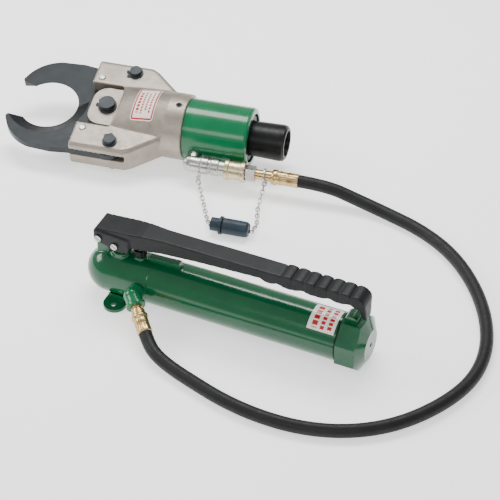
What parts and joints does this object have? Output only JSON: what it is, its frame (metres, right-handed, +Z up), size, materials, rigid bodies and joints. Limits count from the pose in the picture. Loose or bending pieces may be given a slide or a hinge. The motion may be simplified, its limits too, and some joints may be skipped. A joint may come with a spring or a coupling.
{
  "type": "hydraulic cable cutter with hand pump",
  "caption": "Two-blade hydraulic cable cutter head joined by a hose with a quick coupling to a lever hand pump.",
  "frame": {"origin": "centre of the pump foot's two screw holes, at the floor", "axes": "+X along the pump from its head to its end cap, +Y across the floor towards the cutter head, +Z up"},
  "size_m": [0.7871, 0.5197, 0.1162],
  "materials": {
    "head_casting": "cast, satin champagne finish",
    "blade_steel": "ground and blued tool steel",
    "pin_steel": "blackened steel",
    "bright_steel": "ground steel",
    "plated": "zinc plate",
    "brass": "machined brass",
    "green_paint": "gloss paint",
    "black_cast": "satin black paint on cast metal",
    "black_plastic": "moulded",
    "rubber": "smooth",
    "hose_rubber": "matt cover",
    "dust_plastic": "moulded",
    "label": "printed film",
    "seal_rubber": "nitrile"
  },
  "bodies": {
    "root": {"head_frame": "head_casting", "far_pivot_pin": "pin_steel", "near_pivot_pin": "pin_steel", "far_pivot_rings": "pin_steel", "near_pivot_rings": "pin_steel", "guide_buttons": "bright_steel", "collar_set_screw": "pin_steel", "head_label": "label", "ram_cylinder": "green_paint", "rod_gland": "bright_steel", "rear_gland_ring": "black_plastic", "rubber_rear_sleeve": "rubber", "tail_spigot": "bright_steel", "return_spring": "bright_steel", "port_elbow": "plated", "chain_tab": "plated", "coupler_body": "plated", "coupler_nipple": "plated", "hose_nipple_cutter": "brass", "chain_ring": "plated", "hose_ferrule_cutter": "brass", "hose": "hose_rubber", "outlet_elbow": "green_paint", "hose_nipple_pump": "brass", "hose_ferrule_pump": "brass", "pump_head": "green_paint", "pump_foot": "green_paint", "plunger_gland": "green_paint", "plunger_seal": "seal_rubber", "inlet_check_ball": "bright_steel", "inlet_check_spring": "bright_steel", "reservoir_tube": "green_paint", "handle_rest_rib": "green_paint", "oil_bladder": "seal_rubber", "suction_tube": "bright_steel", "suction_filter": "bright_steel", "end_cap": "green_paint", "cap_gasket": "rubber", "vent_screw": "pin_steel", "reservoir_label": "label", "dust_plug": "dust_plastic", "dust_cap": "dust_plastic", "plug_chain": "plated", "cap_chain": "plated"},
    "ram": {"ram_clevis": "head_casting", "ram_rod": "bright_steel", "ram_piston": "bright_steel", "piston_seal": "seal_rubber", "piston_nut": "bright_steel", "centre_pin": "pin_steel", "centre_pin_rings": "pin_steel"},
    "far_jaw": {"far_blade": "blade_steel"},
    "near_jaw": {"near_blade": "blade_steel"},
    "handle": {"pump_handle": "black_cast", "fulcrum_pin": "plated", "plunger_pin": "plated"},
    "plunger": {"pump_plunger": "bright_steel"},
    "release_valve": {"release_valve_stem": "bright_steel", "release_knob": "black_plastic"},
    "coupler_collar": {"coupler_sleeve": "brass"}
  },
  "joints": [
    {"name": "ram_slide", "type": "slide", "parent": "root", "child": "ram", "axis": [0.9866, 0.1633, 0], "range_m": [0, 0.028], "stiffness_N_per_m": 1500, "springref_m": -0.01, "deforming": ["return_spring"]},
    {"name": "far_blade_pivot", "type": "hinge", "parent": "root", "child": "far_jaw", "pos_m": [-0.15441, 0.3413, 0.06028], "axis": [0.0367, -0.2219, 0.9744], "range_deg": [0, 24.56]},
    {"name": "near_blade_pivot", "type": "hinge", "parent": "root", "child": "near_jaw", "pos_m": [-0.1342, 0.21921, 0.03172], "axis": [0.0367, -0.2219, 0.9744], "range_deg": [-24.56, 0]},
    {"name": "handle_pivot", "type": "hinge", "parent": "root", "child": "handle", "pos_m": [-0.026, 0, 0.094], "axis": [0, -1, 0], "range_deg": [0, 50]},
    {"name": "plunger_slide", "type": "slide", "parent": "root", "child": "plunger", "axis": [0, 0, 1], "range_m": [0, 0.01996]},
    {"name": "release_knob_turn", "type": "hinge", "parent": "root", "child": "release_valve", "pos_m": [0.024, 0, 0.075], "axis": [0, 0, 1], "range_deg": [0, 180]},
    {"name": "coupler_sleeve_slide", "type": "slide", "parent": "root", "child": "coupler_collar", "axis": [-0.9866, -0.1633, 0], "range_m": [0, 0.005], "stiffness_N_per_m": 900, "springref_m": -0.002}
  ],
  "couplings": [
    {"joint": "far_blade_pivot", "follows": "ram_slide", "rad_per_m": 15.217},
    {"joint": "near_blade_pivot", "follows": "ram_slide", "rad_per_m": -15.217},
    {"joint": "plunger_slide", "follows": "handle_pivot", "m_per_rad": 0.022646}
  ]
}
